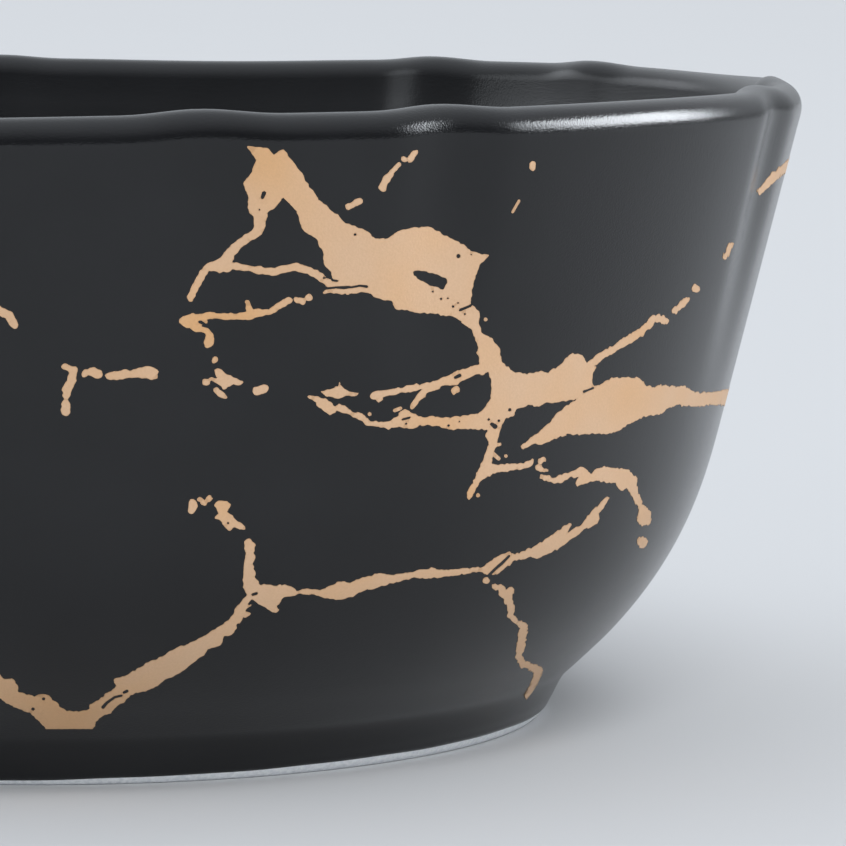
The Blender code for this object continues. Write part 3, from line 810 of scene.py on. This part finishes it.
def addGilding():
    track = wallTrack()
    field, u, v = gildedField(track)
    edge, lines = edgeLines(field, u, v)
    flat = np.concatenate([edge, fillPoints(field, u, v)])
    print("gilding: edge points", len(edge), "all points", len(flat))
    toCell = 1 / gilding["cell"]
    net = delaunay_2d_cdt([Vector(p) for p in flat * toCell], lines.tolist(), [], 0, gilding["weldCells"])
    corners = np.array(net[0]) / toCell
    faces = np.array(net[2])
    middles = corners[faces].mean(axis=1)
    faces = faces[gridValue(field, u, v, middles[:, 0], middles[:, 1]) > 0]
    used, faces = np.unique(faces, return_inverse=True)
    corners = corners[used]
    faces = faces.reshape(-1, 3)
    mesh = bpy.data.meshes.new("giltVeins")
    film = onWall(corners[:, 0], corners[:, 1], track, gilding["lift"])
    mesh.from_pydata(film.tolist(), [], faces.tolist())
    depth = mesh.attributes.new("filmDepth", "FLOAT", "POINT")
    depth.data.foreach_set("value", np.maximum(0, gridValue(field, u, v, *corners.T)) / mm)
    x, y = photoPixels(onWall(*corners.T, track))
    warmth = np.zeros(len(corners))
    for spotX, spotY, reach, amount in warmSpots.values():
        warmth += amount * np.exp(-((x - spotX) ** 2 + (y - spotY) ** 2) / reach**2)
    warm = mesh.attributes.new("filmWarmth", "FLOAT", "POINT")
    warm.data.foreach_set("value", np.minimum(1, warmth))
    gilt = bpy.data.objects.new("giltVeins", mesh)
    bpy.context.collection.objects.link(gilt)
    bpy.ops.object.select_all(action="DESELECT")
    bpy.context.view_layer.objects.active = gilt
    gilt.select_set(True)
    solid = gilt.modifiers.new("film", "SOLIDIFY")
    solid.thickness = gilding["thickness"]
    solid.offset = -1
    bpy.ops.object.modifier_apply(modifier="film")
    bpy.ops.object.shade_smooth_by_angle(angle=gilding["sharpAngle"])
    print("gilding: triangles", sum(len(p.vertices) - 2 for p in mesh.polygons))
    return gilt


# Finishes.
glazeFinish = {
    "dark": (0.0045, 0.0048, 0.0056, 1),
    "light": (0.0065, 0.0069, 0.0080, 1),
    "roughness": (0.15, 0.21),
    "ior": 1.46,
    "grainScale": 4300,
    "peelScale": 700,
    "cloudScale": 55,
    "grainHeight": 0.012 * mm,
    "peelHeight": 0.002 * mm,
}
clayFinish = {
    "pale": (0.90, 0.92, 0.94, 1),
    "dark": (0.76, 0.79, 0.82, 1),
    "roughness": 0.85,
    "grainScale": 1800,
    "grainHeight": 0.02 * mm,
}
giltFinish = {
    "middle": (0.715, 0.48, 0.305, 1),
    "warm": (0.72, 0.42, 0.20, 1),
    "edge": (0.45, 0.25, 0.12, 1),
    "metallic": 0.2,
    "roughness": (0.55, 0.7),
    "grainScale": 3600,
    "patchScale": 130,
    "grainHeight": 0.010 * mm,
    "patchShare": 0.3,
    "speckShare": 0.22,
    "edgeShare": 0.5,
    "edgeReach": 0.12,  # millimetres in from the film's edge
}


def newFinish(name):
    material = bpy.data.materials.new(name)
    material.use_nodes = True
    tree = material.node_tree
    return material, tree, tree.nodes["Principled BSDF"]


def addNode(tree, kind, values=None, **settings):
    node = tree.nodes.new(kind)
    for key, value in settings.items():
        setattr(node, key, value)
    for key, value in (values or {}).items():
        node.inputs[key].default_value = value
    return node


def noiseGroup():
    # one noise read at the piece's own place, with its contrast drawn out
    group = bpy.data.node_groups.new("surfaceNoise", "ShaderNodeTree")
    for name, value in (("Scale", 100.0), ("Detail", 2.0), ("Low", 0.35), ("High", 0.65)):
        socket = group.interface.new_socket(name, in_out="INPUT", socket_type="NodeSocketFloat")
        socket.default_value = value
    group.interface.new_socket("Value", in_out="OUTPUT", socket_type="NodeSocketFloat")
    source = addNode(group, "NodeGroupInput")
    result = addNode(group, "NodeGroupOutput")
    place = addNode(group, "ShaderNodeTexCoord")
    noise = addNode(group, "ShaderNodeTexNoise")
    spread = addNode(group, "ShaderNodeMapRange")
    group.links.new(place.outputs["Object"], noise.inputs["Vector"])
    group.links.new(source.outputs["Scale"], noise.inputs["Scale"])
    group.links.new(source.outputs["Detail"], noise.inputs["Detail"])
    group.links.new(noise.outputs["Fac"], spread.inputs["Value"])
    group.links.new(source.outputs["Low"], spread.inputs["From Min"])
    group.links.new(source.outputs["High"], spread.inputs["From Max"])
    group.links.new(spread.outputs["Result"], result.inputs["Value"])
    return group


def addNoise(tree, group, scale, detail=2.0, low=0.35, high=0.65):
    node = addNode(tree, "ShaderNodeGroup", node_tree=group)
    for name, value in (("Scale", scale), ("Detail", detail), ("Low", low), ("High", high)):
        node.inputs[name].default_value = value
    return node.outputs["Value"]


def addMix(tree, share, first, second):
    mix = addNode(tree, "ShaderNodeMix", data_type="RGBA")
    tree.links.new(share, mix.inputs["Factor"])
    for socket, value in ((mix.inputs[6], first), (mix.inputs[7], second)):
        if isinstance(value, tuple):
            socket.default_value = value
        else:
            tree.links.new(value, socket)
    return mix.outputs[2]


def addRange(tree, value, low, high):
    spread = addNode(tree, "ShaderNodeMapRange", {"To Min": low, "To Max": high})
    tree.links.new(value, spread.inputs["Value"])
    return spread.outputs["Result"]


def addBump(tree, height, distance, before=None):
    bump = addNode(tree, "ShaderNodeBump", {"Strength": 1.0, "Distance": distance})
    tree.links.new(height, bump.inputs["Height"])
    if before:
        tree.links.new(before, bump.inputs["Normal"])
    return bump.outputs["Normal"]


def glazeMaterial(group):
    material, tree, shader = newFinish("blackGlaze")
    grain = addNoise(tree, group, glazeFinish["grainScale"], 1.0, 0.3, 0.7)
    peel = addNoise(tree, group, glazeFinish["peelScale"], 1.0)
    cloud = addNoise(tree, group, glazeFinish["cloudScale"], 3.0)
    shader.inputs["IOR"].default_value = glazeFinish["ior"]
    colour = addMix(tree, cloud, glazeFinish["dark"], glazeFinish["light"])
    tree.links.new(colour, shader.inputs["Base Color"])
    tree.links.new(addRange(tree, grain, *glazeFinish["roughness"]), shader.inputs["Roughness"])
    normal = addBump(tree, peel, glazeFinish["peelHeight"])
    normal = addBump(tree, grain, glazeFinish["grainHeight"], normal)
    tree.links.new(normal, shader.inputs["Normal"])
    return material


def clayMaterial(group):
    material, tree, shader = newFinish("bareClay")
    grain = addNoise(tree, group, clayFinish["grainScale"], 3.0)
    tree.links.new(addMix(tree, grain, clayFinish["dark"], clayFinish["pale"]), shader.inputs["Base Color"])
    shader.inputs["Roughness"].default_value = clayFinish["roughness"]
    tree.links.new(addBump(tree, grain, clayFinish["grainHeight"]), shader.inputs["Normal"])
    return material


def giltMaterial(group):
    material, tree, shader = newFinish("palePinkGilt")
    grain = addNoise(tree, group, giltFinish["grainScale"], 2.0, 0.25, 0.75)
    patch = addNoise(tree, group, giltFinish["patchScale"], 2.0)
    depth = addNode(tree, "ShaderNodeAttribute", attribute_name="filmDepth")
    reach, share = giltFinish["edgeReach"], giltFinish["edgeShare"]
    rim = addNode(tree, "ShaderNodeMapRange", {"From Max": reach, "To Min": share, "To Max": 0.0})
    tree.links.new(depth.outputs["Fac"], rim.inputs["Value"])
    warmth = addNode(tree, "ShaderNodeAttribute", attribute_name="filmWarmth")
    patches = addRange(tree, patch, 0.0, giltFinish["patchShare"])
    specks = addRange(tree, grain, giltFinish["speckShare"], 0.0)
    body = addMix(tree, patches, giltFinish["middle"], giltFinish["warm"])
    body = addMix(tree, warmth.outputs["Fac"], body, giltFinish["warm"])
    speck = addMix(tree, specks, body, giltFinish["edge"])
    colour = addMix(tree, rim.outputs["Result"], speck, giltFinish["edge"])
    tree.links.new(colour, shader.inputs["Base Color"])
    tree.links.new(addRange(tree, grain, *giltFinish["roughness"]), shader.inputs["Roughness"])
    shader.inputs["Metallic"].default_value = giltFinish["metallic"]
    tree.links.new(addBump(tree, grain, giltFinish["grainHeight"]), shader.inputs["Normal"])
    return material


# Stage and light.
studio = {
    "floorSize": 14.0,
    "floorPlace": (0, 3.0, 0),
    "floorColour": (0.52, 0.529, 0.543, 1),
    "floorRoughness": 0.85,
    "floorSpecular": 0.25,
    "skyColour": (0.89, 0.94, 1.0, 1),
    "skySlope": (0.0, 0.3, 1.0),
    "skyRange": (-0.06, 0.95),
    "skyStrength": (0.12, 1.15),
    "sunFrom": (0.40, -0.90, 0.95),
    "sunStrength": 2.35,
    "sunAngle": math.radians(45),
    "lightTint": (0.90, 0.95, 1.0),
    "lightAim": (0, 0, 0.08),
}
areaLights = {
    "windowLight": {"place": (2.2, 0.23, 0.80), "size": (1.45, 0.9), "power": 68, "seenBy": "glossy"},
    "windowEdge": {"place": (2.2, -0.69, 0.80), "size": (0.38, 0.9), "power": 4.3, "seenBy": "glossy"},
    "frontLight": {"place": (-0.6, -1.6, 0.5), "size": (1.8, 0.8), "power": 5, "seenBy": "diffuse"},
    "leftLight": {"place": (-1.85, 0.75, 0.85), "size": (2.4, 0.7), "power": 6.5, "seenBy": "both"},
}


def turnTowards(light, place, target):
    light.rotation_mode = "QUATERNION"
    light.rotation_quaternion = (Vector(target) - Vector(place)).to_track_quat("-Z", "Y")


def addAreaLight(name, facts):
    bpy.ops.object.light_add(type="AREA", location=facts["place"])
    light = bpy.context.object
    light.name = name
    light.data.shape = "RECTANGLE"
    light.data.size, light.data.size_y = facts["size"]
    light.data.energy = facts["power"]
    light.data.color = studio["lightTint"]
    light.visible_diffuse = facts["seenBy"] != "glossy"
    light.visible_glossy = facts["seenBy"] != "diffuse"
    turnTowards(light, facts["place"], studio["lightAim"])


def addSky():
    # brighter overhead and behind, dim round the horizon in front
    world = bpy.data.worlds.new("softRoom")
    bpy.context.scene.world = world
    world.use_nodes = True
    tree = world.node_tree
    background = tree.nodes["Background"]
    background.inputs["Color"].default_value = studio["skyColour"]
    direction = addNode(tree, "ShaderNodeTexCoord")
    slope = addNode(tree, "ShaderNodeVectorMath", {1: studio["skySlope"]}, operation="DOT_PRODUCT")
    low, high = studio["skyRange"]
    dim, bright = studio["skyStrength"]
    strength = addNode(
        tree, "ShaderNodeMapRange", {"From Min": low, "From Max": high, "To Min": dim, "To Max": bright}
    )
    tree.links.new(direction.outputs["Generated"], slope.inputs[0])
    tree.links.new(slope.outputs["Value"], strength.inputs["Value"])
    tree.links.new(strength.outputs["Result"], background.inputs["Strength"])


def addFloor():
    bpy.ops.mesh.primitive_plane_add(size=studio["floorSize"], location=studio["floorPlace"])
    floor = bpy.context.object
    floor.name = "paleFloor"
    material, tree, shader = newFinish("paleFloor")
    shader.inputs["Base Color"].default_value = studio["floorColour"]
    shader.inputs["Roughness"].default_value = studio["floorRoughness"]
    shader.inputs["Specular IOR Level"].default_value = studio["floorSpecular"]
    floor.data.materials.append(material)


def addStage():
    addFloor()
    addSky()
    bpy.ops.object.light_add(type="SUN", location=studio["sunFrom"])
    sun = bpy.context.object
    sun.name = "softSun"
    sun.data.energy = studio["sunStrength"]
    sun.data.angle = studio["sunAngle"]
    sun.visible_glossy = False
    turnTowards(sun, studio["sunFrom"], (0, 0, 0))
    for name, facts in areaLights.items():
        addAreaLight(name, facts)
    bpy.context.scene.view_settings.view_transform = "Standard"


addCamera()
print("camera placed")
bowlPiece, bareFaces = addBowl()
print("bowl turned and lobed:", len(bowlPiece.data.polygons), "faces")
giltPiece = addGilding()
print("gilding laid")
noises = noiseGroup()
bowlPiece.data.materials.append(glazeMaterial(noises))
bowlPiece.data.materials.append(clayMaterial(noises))
for index in bareFaces:
    bowlPiece.data.polygons[index].material_index = 1
giltPiece.data.materials.append(giltMaterial(noises))
addStage()
print("finishes and studio set")
for piece in (bowlPiece, giltPiece):
    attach(piece, "root")
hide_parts("bowl")
